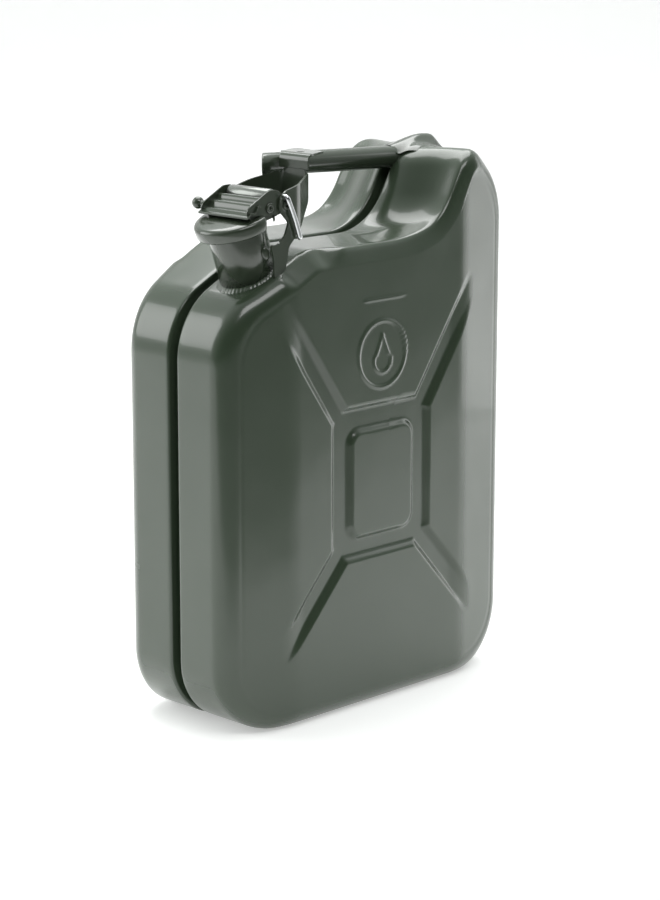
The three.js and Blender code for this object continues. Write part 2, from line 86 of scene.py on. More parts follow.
# %% Socket class
class Wire:
    """The output of a node, which can be used in sums and fed to other nodes."""

    def __init__(self, tree, socket):
        self.tree = tree
        self.socket = socket

    def feed(self, target, value):
        if isinstance(value, Wire):
            self.tree.links.new(value.socket, target)
        else:
            target.default_value = value

    def node(self, kind, settings, inputs, output=0):
        made = self.tree.nodes.new(kind)
        for name, value in settings.items():
            if name == "stops":
                ramp = made.color_ramp.elements
                for i, (place, colour) in enumerate(value):
                    stop = ramp[i] if i < 2 else ramp.new(place)
                    stop.position = place
                    stop.color = colour
            else:
                setattr(made, name, value)
        for name, value in inputs.items():
            self.feed(made.inputs[name], value)
        return Wire(self.tree, made.outputs[output])

    def sum(self, operation, first, second):
        return self.node("ShaderNodeMath", {"operation": operation}, {0: first, 1: second})

    def __add__(self, other):
        return self.sum("ADD", self, other)

    def __radd__(self, other):
        return self.sum("ADD", other, self)

    def __sub__(self, other):
        return self.sum("SUBTRACT", self, other)

    def __rsub__(self, other):
        return self.sum("SUBTRACT", other, self)

    def __mul__(self, other):
        return self.sum("MULTIPLY", self, other)

    def __rmul__(self, other):
        return self.sum("MULTIPLY", other, self)


def new_finish(name, **constants):
    """An empty material: its shader node, and a wire carrying the place on the can in metres."""
    material = bpy.data.materials.new(name)
    material.use_nodes = True
    tree = material.node_tree
    shader = tree.nodes["Principled BSDF"]
    for socket, value in constants.items():
        shader.inputs[socket.replace("_", " ")].default_value = value
    place = Wire(tree, tree.nodes.new("ShaderNodeTexCoord").outputs["Object"])
    return material, shader, place


def noise(place, scale, detail=2.0, roughness=0.5):
    inputs = {"Vector": place, "Scale": scale, "Detail": detail, "Roughness": roughness}
    return place.node("ShaderNodeTexNoise", {}, inputs)


def mixed(factor, first, second):
    """A colour between two colours."""
    return factor.node("ShaderNodeMix", {"data_type": "RGBA"},
                       {0: factor, 6: first, 7: second}, output=2)


print("shader helpers ready")

# %% [markdown]
# ## Finishes
# The can is dipped in a glossy olive enamel. Such paint is never one flat colour: it lies thicker
# in some places, it has a fine orange peel, and the thin sheet below is slightly wavy, which bends
# the reflections. The closure's small parts carry the same paint, a little thinner and browner. The
# locking wire is zinc plated, and the gasket is matt rubber.

# %% Finishes
def enamel(name, dark, light, gloss, wave):
    """Glossy paint on sheet metal. `wave` is how much the sheet under it is uneven."""
    material, shader, place = new_finish(name, Coat_Roughness=0.06, Specular_IOR_Level=0.5)
    clouds = noise(place, 9, 3)
    peel = noise(place, 620, 2)
    place.feed(shader.inputs["Base Color"], mixed(clouds, dark, light))
    place.feed(shader.inputs["Roughness"], noise(place, 34, 4) * 0.10 + gloss)
    place.feed(shader.inputs["Coat Weight"], 0.35 + 0.2 * clouds)
    uneven = noise(place, 21, 1) * wave + peel * 0.00001
    bump = place.node("ShaderNodeBump", {}, {"Height": uneven, "Strength": 1.0, "Distance": 1.0})
    place.feed(shader.inputs["Normal"], bump)
    return material


def zinc():
    """Bright plating on drawn wire: fine scratches along it, a faint blue tint."""
    material, shader, place = new_finish("zinc", Metallic=1.0)
    drawn = place.node("ShaderNodeMapping", {}, {"Vector": place, "Scale": (900, 900, 120)})
    streaks = noise(drawn, 1, 3)
    place.feed(shader.inputs["Base Color"],
               mixed(streaks, (0.52, 0.54, 0.58, 1), (0.74, 0.74, 0.73, 1)))
    place.feed(shader.inputs["Roughness"], streaks * 0.18 + 0.12)
    bump = place.node("ShaderNodeBump", {}, {"Height": streaks * 0.00002, "Distance": 1.0})
    place.feed(shader.inputs["Normal"], bump)
    return material


def bare_steel():
    material, shader, place = new_finish("bare_steel", Metallic=1.0)
    drawn = noise(place, 260, 4)
    place.feed(shader.inputs["Base Color"],
               mixed(drawn, (0.42, 0.41, 0.39, 1), (0.6, 0.6, 0.58, 1)))
    place.feed(shader.inputs["Roughness"], drawn * 0.2 + 0.3)
    return material


def rubber():
    material, shader, place = new_finish("rubber")
    grain = noise(place, 1400, 3)
    place.feed(shader.inputs["Base Color"],
               mixed(grain, (0.008, 0.008, 0.008, 1), (0.022, 0.022, 0.021, 1)))
    place.feed(shader.inputs["Roughness"], grain * 0.2 + 0.6)
    bump = place.node("ShaderNodeBump", {}, {"Height": grain * 0.00003, "Distance": 1.0})
    place.feed(shader.inputs["Normal"], bump)
    return material


BODY_PAINT = enamel("body_enamel", (0.034, 0.051, 0.031, 1), (0.041, 0.060, 0.037, 1),
                    0.20, 0.0010)
SMALL_PAINT = enamel("fitting_enamel", (0.028, 0.040, 0.025, 1), (0.042, 0.055, 0.037, 1),
                     0.16, 0.0003)
ZINC = zinc()
STEEL = bare_steel()
RUBBER = rubber()
# Painted reflection: a lighter, metallic copy of the fitting enamel makes the painted roll look as
# if it mirrors a bright light.
ROLL_SHEEN_PAINT = enamel("painted_sheen_enamel", (0.13, 0.14, 0.13, 1), (0.22, 0.23, 0.215, 1), 0.2, 0.0002)
ROLL_SHEEN_PAINT.node_tree.nodes["Principled BSDF"].inputs["Metallic"].default_value = 0.75
print("finishes", [m.name for m in bpy.data.materials])

# %% [markdown]
# ## Making a piece
# Every piece is a list of points and faces worked out in millimetres. One helper turns them into an
# object, gives it its finish, names the CAD piece it stands for and the body it rides on.


def face_out(mesh):
    """Turns every face of a closed mesh outwards."""
    work = bmesh.new()
    work.from_mesh(mesh)
    bmesh.ops.recalc_face_normals(work, faces=work.faces)
    work.to_mesh(mesh)
    work.free()


def piece(name, points, faces, finish, body, *nodes):
    """A smooth mesh object from points in millimetres."""
    mesh = bpy.data.meshes.new(name)
    mesh.from_pydata((np.asarray(points, float) * MM).tolist(), [], faces)
    made = bpy.data.objects.new(name, mesh)
    bpy.context.scene.collection.objects.link(made)
    face_out(mesh)
    mesh.shade_smooth()
    mesh.materials.append(finish)
    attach(made, body)
    if nodes:
        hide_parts(*nodes)
    return made


def applied(made):
    """Turns an object's modifiers into its mesh."""
    shape = made.evaluated_get(bpy.context.evaluated_depsgraph_get())
    made.data = bpy.data.meshes.new_from_object(shape)
    made.modifiers.clear()
    return made


def rounded(made, width, segments=3, angle=30):
    """Rounds every edge sharper than `angle` by `width` millimetres."""
    bevel = made.modifiers.new("round", "BEVEL")
    bevel.width = width * MM
    bevel.segments = segments
    bevel.limit_method = "ANGLE"
    bevel.angle_limit = math.radians(angle)
    bevel.harden_normals = True
    return applied(made)


def grid_faces(rows, columns, closed):
    """Four-sided faces between rows of points; `closed` joins each row's ends."""
    faces = []
    for r in range(rows - 1):
        for c in range(columns if closed else columns - 1):
            d = (c + 1) % columns
            faces.append((r * columns + c, r * columns + d,
                          (r + 1) * columns + d, (r + 1) * columns + c))
    return faces


print("piece helpers ready")

# %% [markdown]
# ## The can's outline
# From the big side the can is a run of arcs joined by straight lines. Each arc keeps its centre
# when the outline moves inwards, so one function gives the rim, the channel's bottom and every
# step of the rolled edge between them, always with matching points.

# %% Outline
LENGTH, HUMP, FLAT = 290.0, 395.0, 338.0
BOTTOM_RADIUS, REAR_RADIUS, FRONT_RADIUS, KNEE_RADIUS = 50.0, 55.0, 54.0, 30.0
SLOPE = math.radians(26.6)  # of the shoulder that carries the neck
FRONT_CORNER = 298.0  # where the front face and the shoulder would meet
BOWL_RADIUS, LIP_RADIUS, TURN = 54.0, 24.0, math.radians(60)
HALF = LENGTH / 2
QUARTER = math.pi / 2

scoop_rise = HUMP - FLAT - (BOWL_RADIUS + LIP_RADIUS) * (1 - math.cos(TURN))
scoop_run = scoop_rise / math.sin(TURN)
HUMP_FRONT = HALF - REAR_RADIUS
SCOOP_START = (HUMP_FRONT - (LIP_RADIUS + BOWL_RADIUS) * math.sin(TURN)
               - scoop_run * math.cos(TURN))
knee_x = (FLAT - FRONT_CORNER) / math.tan(SLOPE) - HALF
front_tangent = FRONT_RADIUS * math.tan((QUARTER - SLOPE) / 2)

# Centre x, centre z, radius, how the radius changes with the inset, first and last angle.
ARCS = [
    (HALF - BOTTOM_RADIUS, BOTTOM_RADIUS, BOTTOM_RADIUS, -1, -QUARTER, 0),
    (HUMP_FRONT, HUMP - REAR_RADIUS, REAR_RADIUS, -1, 0, QUARTER),
    (HUMP_FRONT, HUMP - LIP_RADIUS, LIP_RADIUS, -1, QUARTER, QUARTER + TURN),
    (SCOOP_START, FLAT + BOWL_RADIUS, BOWL_RADIUS, 1, TURN - QUARTER, -QUARTER),
    (knee_x + KNEE_RADIUS * math.tan(SLOPE / 2), FLAT - KNEE_RADIUS, KNEE_RADIUS, -1,
     QUARTER, QUARTER + SLOPE),
    (FRONT_RADIUS - HALF, FRONT_CORNER - front_tangent, FRONT_RADIUS, -1,
     QUARTER + SLOPE, math.pi),
    (BOTTOM_RADIUS - HALF, BOTTOM_RADIUS, BOTTOM_RADIUS, -1, math.pi, 3 * QUARTER),
]


def arc_point(arc, share, inset):
    x, z, radius, grow, first, last = arc
    angle = first + (last - first) * share
    r = radius + grow * inset
    return np.array([x + r * math.cos(angle), z + r * math.sin(angle)])


def outline_places(count):
    """Even steps round the rim, each as (arc, share), or (arc, share + 1) on the run after it."""
    spans = []
    for i, arc in enumerate(ARCS):
        following = ARCS[(i + 1) % len(ARCS)]
        gap = np.linalg.norm(arc_point(following, 0, 0) - arc_point(arc, 1, 0))
        spans += [arc[2] * abs(arc[5] - arc[4]), gap]
    ends = np.cumsum(spans)
    places = []
    for k in range(count):
        s = ends[-1] * k / count
        i = int(np.searchsorted(ends, s, side="right"))
        share = 1 - (ends[i] - s) / max(spans[i], 1e-9)
        places.append((i // 2, share + (i % 2)))
    return places


def outline(places, inset):
    """The outline moved inwards by `inset`, as x and z in millimetres."""
    out = []
    for i, share in places:
        if share <= 1:
            out.append(arc_point(ARCS[i], share, inset))
        else:
            start = arc_point(ARCS[i], 1, inset)
            end = arc_point(ARCS[(i + 1) % len(ARCS)], 0, inset)
            out.append(start + (end - start) * (share - 1))
    return np.array(out)


STEPS_ROUND = 560
PLACES = outline_places(STEPS_ROUND)
rim = outline(PLACES, 0)
print("outline", rim.min(0).round(1), rim.max(0).round(1))

# %% [markdown]
# ## The pressed side
# The press sinks a square ring round a flat pad, and four channels that run out to the corners and
# die away where the side bends back to the narrow faces. Above the pad a raised ring holds a fuel
# drop. All of it is one height for each place on the side: soft steps of distance fields, which are
# simple to blend and never leave a crack.

# %% Height of the side
FACE = 61.7  # half thickness of the can on its flat middle
END_HALF = 50.0  # half thickness at the narrow faces
BEND_X = 87.0  # where the side starts to taper
SUNK = 3.4  # how deep the press goes
PAD = (1.0, 166.5, 32.0, 38.5, 10.0)  # middle x, z, half length, half height, corner
RING = (0.0, 168.0, 49.3, 55.0, 14.0)
# The channels out to the corners, drawn on one half: start, end, half width.
ARMS = (((43, 219), (97, 297), 7.6), ((43, 117), (97, 58), 7.8))
BADGE_Z, BADGE_RADIUS = 258.4, 24.0


def smooth(low, high, value):
    t = np.clip((value - low) / (high - low), 0, 1)
    return t * t * (3 - 2 * t)


def rounded_box(x, z, box):
    """Distance outside a rectangle with round corners, negative inside."""
    mx, mz, half_x, half_z, corner = box
    qx = np.abs(x - mx) - half_x + corner
    qz = np.abs(z - mz) - half_z + corner
    away = np.hypot(np.maximum(qx, 0), np.maximum(qz, 0))
    return away + np.minimum(np.maximum(qx, qz), 0) - corner


def bar(x, z, start, end, half):
    """Distance outside a straight bar with round ends."""
    (x0, z0), (x1, z1) = start, end
    dx, dz = x1 - x0, z1 - z0
    t = np.clip(((x - x0) * dx + (z - z0) * dz) / (dx * dx + dz * dz), 0, 1)
    return np.hypot(x - x0 - t * dx, z - z0 - t * dz) - half


def drop(x, z):
    """Distance outside a fuel drop: a ball below, drawn up to a point."""
    ball = np.hypot(x, z + 5) - 8.5
    t = np.clip((z + 5) / 19, 0, 1)
    spike = np.abs(x) - 8.5 * (1 - t) ** 1.15
    return np.where(z > -1, np.maximum(spike * 0.85, z - 14), ball)


def taper(x):
    """Half thickness of the can along its length, with a soft bend at each end of the middle."""
    soft = 7.0
    past = np.abs(x) - BEND_X
    ramp = np.where(past > soft, past, np.where(past < -soft, 0, (past + soft) ** 2 / (4 * soft)))
    return FACE - ramp * (FACE - END_HALF) / (HALF - BEND_X)


def side_height(x, z):
    """Distance of the pressed side from the can's middle plane."""
    channel = np.maximum(rounded_box(x, z, RING), -rounded_box(x, z, PAD))
    sunk = 1 - smooth(-3.0, 2.2, channel)
    for side in (-1, 1):
        for start, end, half in ARMS:
            arm = bar(x, z, (side * start[0], start[1]), (side * end[0], end[1]), half)
            sunk = np.maximum(sunk, 1 - smooth(-3.6, 3.0, arm))
    sunk = sunk * (1 - smooth(74, 100, np.abs(x)))
    badge = z - BADGE_Z
    line = np.abs(np.hypot(x, badge) - BADGE_RADIUS) - 0.5
    mark = np.abs(drop(x, badge)) - 0.35
    raised = 0.8 * (1 - smooth(-0.3, 1.3, np.minimum(line, mark)))
    bead = bar(x, z, (-17.5, 298), (20.5, 298), 0.2)
    raised = np.maximum(raised, 0.7 * (1 - smooth(-0.3, 1.3, bead)))
    return taper(x) - SUNK * sunk + raised


print("side height from", side_height(np.array([0.0]), np.array([108.0])),
      "to", side_height(np.array([45.0]), np.array([168.0])))

# %% [markdown]
# ## Half shells
# Each shell is drawn as rings: out of the weld channel, over its rolled lip, across the rim, round
# the edge and over the side to its middle. Behind the hand recess the outer edge lies further back
# than the middle, so the rim there turns into a shallow bowl. An inner skin closes the sheet.

# %% Shell rings
EDGE = 13.0
# The edge changes along the top: round, then a chamfer on the shoulder, a crisp crest over the
# flat and the recess, and round again at the rear.
CHAMFER_FRONT, CREST_FRONT, CREST_REAR, TOP = (-96.0, -87.0), (-56.0, -34.0), (58.0, 92.0), 290.0
RECESS_SHIFT = 16.0
SIDE_ROWS, INNER_ROWS = 130, 16
SKIN = 9.0  # from the outer face to the hidden inner skin

# From the weld to the rim: how far in from the outline, and how far from the middle plane.
LIP = [(9.0, 1.1), (9.0, 2.4), (8.75, 3.2), (8.1, 3.7), (6.8, 3.9), (3.4, 3.95), (1.7, 4.1),
       (1.0, 4.35), (0.45, 4.85), (0.12, 5.6), (0.0, 6.6)]
ROUND = [(EDGE * (1 - math.cos(a)), -EDGE * (1 - math.sin(a)))
         for a in np.linspace(0, QUARTER, 13)]
CRISP = [(0.0, -13.0), (0.0, -10.0), (0.0, -7.6), (0.05, -6.0), (0.3, -4.8), (0.8, -3.8),
         (1.6, -3.0), (2.8, -2.35), (4.3, -1.8), (6.2, -1.3), (8.4, -0.8), (10.8, -0.35),
         (13.0, 0.0)]
CHAMFER = [(0.0, -13.0), (0.25, -12.3), (0.9, -11.3), (2.0, -10.1), (3.4, -8.7), (5.0, -7.1),
           (6.7, -5.4), (8.4, -3.7), (9.9, -2.2), (11.1, -1.1), (12.0, -0.45), (12.8, -0.12),
           (13.6, 0.0)]


def set_back(points, y):
    """Moves the rim of the hand recess towards the rear, more at the outer edge."""
    x, z = points[:, 0], points[:, 1]
    where = smooth(6, 44, x) * (1 - smooth(74, 124, x)) * smooth(285, 335, z)
    return points + np.stack([RECESS_SHIFT * where * smooth(8, 50, y), 0 * x], 1)


def ring(inset, y, follow_face):
    """One ring of points. `y` counts from the can's face if it follows the face."""
    flat = outline(PLACES, inset)
    height = np.full(len(flat), float(y))
    if follow_face:
        height = taper(flat[:, 0]) + y
    flat = set_back(flat, np.full(len(flat), 61.0) if follow_face else height)
    return np.stack([flat[:, 0], height, flat[:, 1]], 1)


def crest_shares():
    """How much of the crisp crest and of the chamfer each place on the rim has."""
    x, z = rim[:, 0], rim[:, 1]
    front, middle = smooth(*CHAMFER_FRONT, x), smooth(*CREST_FRONT, x)
    rear = 1 - smooth(*CREST_REAR, x)
    on_top = z > TOP
    return middle * rear * on_top, front * (1 - middle) * on_top


def outer_rings():
    rings = [ring(d, y, False) for d, y in LIP]
    rim_edge = ring(0, -EDGE, True)
    flat = outline(PLACES, 0)
    for share in (0.08, 0.2, 0.35, 0.5, 0.65, 0.8, 0.92):
        y = LIP[-1][1] + (rim_edge[:, 1] - LIP[-1][1]) * share
        back_flat = set_back(flat, y)
        rings.append(np.stack([back_flat[:, 0], y, back_flat[:, 1]], 1))
    crisp, cut_off = crest_shares()
    plain = 1 - crisp - cut_off
    for (d0, y0), (d1, y1), (d2, y2) in zip(ROUND, CRISP, CHAMFER):
        flat = (outline(PLACES, d0) * plain[:, None] + outline(PLACES, d1) * crisp[:, None]
                + outline(PLACES, d2) * cut_off[:, None])
        y = taper(flat[:, 0]) + y0 * plain + y1 * crisp + y2 * cut_off
        flat = set_back(flat, y)
        rings.append(np.stack([flat[:, 0], y, flat[:, 1]], 1))
    return rings


MIDDLE = np.array([1.0, 0.0, 190.0])


def side_rings(start, count, height):
    """Rings from the edge to the middle of the side, at the side's height."""
    rings = []
    for k in range(1, count):
        share = k / count
        p = start + (MIDDLE - start) * share
        edge = smooth(0, 0.03, share)
        y = height(p[:, 0], p[:, 2])
        p[:, 1] = start[:, 1] * (1 - edge) + y * edge
        rings.append(p)
    return rings


def shell_points():
    outer = outer_rings()
    outer += side_rings(outer[-1], SIDE_ROWS, side_height)
    inner = [ring(d, y, False) for d, y in ((10, 1.1), (10, 5.0), (3, 6.5), (1, 10))]
    inner += [ring(d, y, True) for d, y in ((1, -14), (3, -12), (7, -10), (13.5, -SKIN))]
    inner += side_rings(inner[-1], INNER_ROWS, lambda x, z: taper(x) - SKIN)
    rings = outer[::-1] + inner
    columns = len(PLACES)
    points = np.concatenate(rings)
    faces = grid_faces(len(rings), columns, True)
    middle_outer = np.array([[MIDDLE[0], side_height(MIDDLE[0], MIDDLE[2]), MIDDLE[2]]])
    middle_inner = np.array([[MIDDLE[0], FACE - SKIN, MIDDLE[2]]])
    points = np.concatenate([points, middle_outer, middle_inner])
    tip, last = len(points) - 2, (len(rings) - 1) * columns
    for c in range(columns):
        d = (c + 1) % columns
        faces.append((tip, d, c))
        faces.append((tip + 1, last + c, last + d))
    return points, faces


shell, shell_faces = shell_points()
print("shell", len(shell), "points", shell.min(0).round(1), shell.max(0).round(1))

# %% Both shells
plain_side = piece("plain_side", shell, shell_faces, BODY_PAINT, "can", "plain_side_shell")
neck_side = piece("neck_side", shell * (1, -1, 1), shell_faces, BODY_PAINT, "can",
                  "neck_side_shell")
print("plain side", len(plain_side.data.vertices), "points")

# %% [markdown]
# ## Cutting and sheet helpers
# The closure is bent from sheet. A part in one plane is an outline with its corners rounded, given
# a thickness; the sharp edges are then broken by a small bevel, because it is the bevel that
# catches the light. Turned parts are a profile spun round an axis.

# %% Sheet and lathe helpers
def round_corners(points, radius, steps=4):
    """A closed outline with an arc in place of each corner."""
    points = [np.array(p, float) for p in points]
    out = []
    for i, corner in enumerate(points):
        before = points[i - 1] - corner
        after = points[(i + 1) % len(points)] - corner
        reach = min(radius, 0.42 * np.linalg.norm(before), 0.42 * np.linalg.norm(after))
        start = corner + before / np.linalg.norm(before) * reach
        end = corner + after / np.linalg.norm(after) * reach
        for k in range(steps + 1):
            t = k / steps
            out.append(start * (1 - t) ** 2 + corner * 2 * t * (1 - t) + end * t * t)
    return out


def slab(outline_xz, y0, y1):
    """Points and faces of an outline in X and Z made thick along Y."""
    n = len(outline_xz)
    points = [(x, y, z) for y in (y0, y1) for x, z in outline_xz]
    faces = [tuple(range(n)), tuple(range(2 * n - 1, n - 1, -1))]
    faces += [(i, i + n, (i + 1) % n + n, (i + 1) % n) for i in range(n)]
    return points, faces


def spun(profile, segments=72):
    """Points and faces of a closed or axis-to-axis profile of (radius, height) spun round Z."""
    points, faces, rows = [], [], []
    for r, h in profile:
        if r < 1e-6:
            rows.append([len(points)])
            points.append((0, 0, h))
        else:
            rows.append(list(range(len(points), len(points) + segments)))
            for k in range(segments):
                a = 2 * math.pi * k / segments
                points.append((r * math.cos(a), r * math.sin(a), h))
    closed = profile[0][0] > 1e-6
    for i in range(len(rows) if closed else len(rows) - 1):
        low, high = rows[i], rows[(i + 1) % len(rows)]
        for k in range(segments):
            j = (k + 1) % segments
            if len(low) == 1:
                faces.append((low[0], high[k], high[j]))
            elif len(high) == 1:
                faces.append((low[k], low[j], high[0]))
            else:
                faces.append((low[k], low[j], high[j], high[k]))
    return points, faces


def joined(*shapes):
    points, faces = [], []
    for p, f in shapes:
        start = len(points)
        points += list(p)
        faces += [tuple(i + start for i in face) for face in f]
    return points, faces


def moved(shape, matrix):
    """A shape turned and moved by a matrix whose lengths are millimetres."""
    points, faces = shape
    return [tuple(matrix @ Vector(p)) for p in points], faces


def cutter(shape):
    """A hidden solid used once to cut another."""
    points, faces = shape
    mesh = bpy.data.meshes.new("cutter")
    mesh.from_pydata((np.asarray(points, float) * MM).tolist(), [], faces)
    made = bpy.data.objects.new("cutter", mesh)
    bpy.context.scene.collection.objects.link(made)
    face_out(mesh)
    return made


def cut(made, *shapes):
    """Takes solids away from a piece."""
    tools = [cutter(shape) for shape in shapes]
    for tool in tools:
        step = made.modifiers.new("cut", "BOOLEAN")
        step.operation = "DIFFERENCE"
        step.solver = "EXACT"
        step.object = tool
    bpy.context.view_layer.update()
    applied(made)
    for tool in tools:
        bpy.data.objects.remove(tool)
    return made


def rod(radius, y0, y1, x, z, round_by=0.5, bore=0.0):
    """A turned rod along Y through x and z, with rounded ends and maybe a bore."""
    r = round_by
    profile = [(bore, y0), (radius - r, y0), (radius - r * 0.3, y0 + r * 0.3), (radius, y0 + r),
               (radius, y1 - r), (radius - r * 0.3, y1 - r * 0.3), (radius - r, y1), (bore, y1)]
    turn = Matrix.Translation((x, 0, z)) @ Matrix.Rotation(-QUARTER, 4, "X")
    return moved(spun(profile, 40), turn)


print("sheet helpers ready")

# %% [markdown]
# ## Where the closure sits
# The closure is not in the middle: it stands on the neck side, between the weld channel and the
# edge. Its neck leans forward, square to the shoulder that carries it. Sheets lie side by side
# across it: the cap's ears, the lever's arms, the bracket's cheeks.

# %% Closure frame
CLOSURE_Y = -26.0
NECK_X, NECK_TILT, NECK_RADIUS, NECK_WALL, NECK_LENGTH = -97.5, math.radians(18), 20.0, 1.5, 39.5
shoulder_z = FRONT_CORNER + (NECK_X + HALF) * math.tan(SLOPE)
NECK = (Matrix.Translation((NECK_X, CLOSURE_Y, shoulder_z))
        @ Matrix.Rotation(-NECK_TILT, 4, "Y"))
AT_CLOSURE = Matrix.Translation((0, CLOSURE_Y, 0))
HINGE_X, HINGE_Z = -84.5, 371.5
EAR_IN, EAR_OUT = 20.3, 21.5
ARM_IN, ARM_OUT = 21.8, 23.0
CHEEK_IN, CHEEK_OUT = 23.3, 24.8
print("neck root", NECK.translation)

# %% [markdown]
# ## Filler neck
# A rolled tube with a turned-over mouth, and the weld bead that runs round its foot. The shell is
# opened under it so that one can look into the tank. Two pressed ovals stand on the neck's sides.

# %% Filler neck
bore = NECK_RADIUS - NECK_WALL
neck_profile = [
    (bore, -8), (NECK_RADIUS, -8), (NECK_RADIUS, 28), (NECK_RADIUS, NECK_LENGTH - 1.2),
    (NECK_RADIUS - 0.25, NECK_LENGTH - 0.35), (NECK_RADIUS - 0.75, NECK_LENGTH),
    (bore + 0.3, NECK_LENGTH - 0.3), (bore, NECK_LENGTH - 1.0), (bore, 20),
]
points, faces = moved(spun(neck_profile, 96), NECK)
neck = piece("filler_neck_tube", points, faces, SMALL_PAINT, "can", "filler_neck")
opening = NECK_RADIUS - 0.6
hole = moved(spun([(0, -30), (opening, -30), (opening, 30), (0, 30)], 64), NECK)
cut(neck_side, hole)


def weld_bead():
    """A fillet of weld round the neck that follows the shoulder, with the ripples of the torch."""
    rows, around = 9, 220
    points = []
    for k in range(around):
        a = 2 * math.pi * k / around
        ripple = 1 + 0.07 * math.sin(46 * a) + 0.05 * math.sin(13 * a + 1)
        for j in range(rows):
            t = j / (rows - 1) * math.pi
            r = NECK_RADIUS - 0.5 + (2.5 * (1 - math.cos(t)) / 2 + 0.6 * math.sin(t)) * ripple
            lift = 1.4 * (1 + math.cos(t)) * ripple - 0.3
            p = NECK @ Vector((r * math.cos(a), r * math.sin(a), 0))
            ground = shoulder_z + (p.x - NECK_X) * math.tan(SLOPE)
            points.append((p.x, p.y, ground + lift))
    faces = []
    for k in range(around):
        nxt = (k + 1) % around
        for j in range(rows):
            m = (j + 1) % rows
            faces.append((k * rows + j, nxt * rows + j, nxt * rows + m, k * rows + m))
    return points, faces


piece("neck_bead", *weld_bead(), BODY_PAINT, "can", "neck_weld")

LUG_UP, LUG_BACK = 17.0, 3.0
for name, side in (("neck_lug_outer", -1), ("neck_lug_inner", 1)):
    dome = [(0, 1.9), (1.8, 1.75), (2.6, 1.2), (3.2, 0.4), (3.3, -1.2), (0, -1.2)]
    lay = (NECK @ Matrix.Translation((LUG_BACK, side * (NECK_RADIUS + 0.2), LUG_UP))
           @ Matrix.Rotation(-side * QUARTER, 4, "X") @ Matrix.Diagonal((1, 1.65, 1, 1)))
    piece(name + "_pressed", *moved(spun(dome, 40), lay), SMALL_PAINT, "can", name)
print("neck", len(neck.data.vertices))

# %% [markdown]
# ## Closure bracket
# One strip of 1.5 mm sheet, folded round three sides of the closure: two cheeks that carry the
# hinge and a back wall. It is drawn flat, as it would be cut, then each point is laid along the
# folded path. A holed tab is bent back off the wall's top and lies on the handle.

# %% Bracket
SHEET = 1.5
BEND_AT, BACK_X, BACK_HALF = -72.0, -51.6, 14.0
cheek_mid = (CHEEK_IN + CHEEK_OUT) / 2
back_mid = BACK_HALF - SHEET / 2


def folded_path():
    """The bracket's middle line seen from above, from one cheek's front to the other's."""
    corners = [(-110, -cheek_mid), (BEND_AT, -cheek_mid), (BACK_X, -back_mid),
               (BACK_X, back_mid), (BEND_AT, cheek_mid), (-110, cheek_mid)]
    soft = [np.array(corners[0], float)]
    for i in range(1, 5):
        c = np.array(corners[i], float)
        before, after = np.array(corners[i - 1]) - c, np.array(corners[i + 1]) - c
        reach = 5.0 if i in (1, 4) else 3.4
        a = c + before / np.linalg.norm(before) * reach
        b = c + after / np.linalg.norm(after) * reach
        for t in np.linspace(0, 1, 8):
            soft.append(a * (1 - t) ** 2 + c * 2 * t * (1 - t) + b * t * t)
    soft.append(np.array(corners[5], float))
    return np.array(soft)


path = folded_path()
steps = np.concatenate([[0], np.cumsum(np.linalg.norm(np.diff(path, axis=0), axis=1))])
path_length = steps[-1]


def flat_from_x(x):
    """Distance along the folded strip at which the first cheek reaches x."""
    first = path[: len(path) // 2]
    return float(np.interp(x, first[:, 0], steps[: len(first)]))


CHEEK = [(-52.6, 389.6), (-74.3, 383.5), (-84.5, 381.0), (-91.0, 376.0), (-91.0, 368.0),
         (-86.0, 363.0), (-82.0, 359.0), (-86.0, 350.0), (-92.0, 345.0), (-99.0, 345.0),
         (-96.0, 334.0), (-96.0, 321.5), (-85.0, 327.0), (-82.0, 342.0), (-76.0, 348.0),
         (-53.6, 370.0)]


def bracket():
    near = [(flat_from_x(x), z) for x, z in round_corners(CHEEK, 2.2)]
    far = [(path_length - u, z) for u, z in near[::-1]]
    wall = flat_from_x(-52.0)  # where the back wall begins
    blank = near + [(wall + 4, 371.0), (path_length - wall - 4, 371.0)] + far
    blank += [(path_length - wall - 3, 392.0), (wall + 3, 392.0)]
    sheet = bmesh.new()
    sheet.faces.new([sheet.verts.new((u, 0, z)) for u, z in blank])
    for u in steps[1:-1]:
        everything = sheet.verts[:] + sheet.edges[:] + sheet.faces[:]
        bmesh.ops.bisect_plane(sheet, geom=everything, plane_co=(u, 0, 0), plane_no=(1, 0, 0))
    points = []
    sheet.verts.index_update()
    for v in sheet.verts:
        x = np.interp(v.co.x, steps, path[:, 0])
        y = np.interp(v.co.x, steps, path[:, 1])
        points.append((x, y + CLOSURE_Y, v.co.z))
    faces = [tuple(v.index for v in f.verts) for f in sheet.faces]
    sheet.free()
    return points, faces


def solid_sheet(made, thickness):
    """Gives a bent surface its sheet thickness."""
    solid = made.modifiers.new("sheet", "SOLIDIFY")
    solid.thickness = thickness * MM
    solid.offset = 0
    applied(made)
    face_out(made.data)
    return made


def thick(made, thickness, round_by):
    """Gives a bent surface its sheet thickness and breaks its edges."""
    return rounded(solid_sheet(made, thickness), round_by, 2, 50)


bracket_piece = piece("bracket_sheet", *bracket(), SMALL_PAINT, "can", "closure_bracket")
thick(bracket_piece, SHEET, 0.3)

TAB_TOP = 401.6
TAB_BEND = 4.5


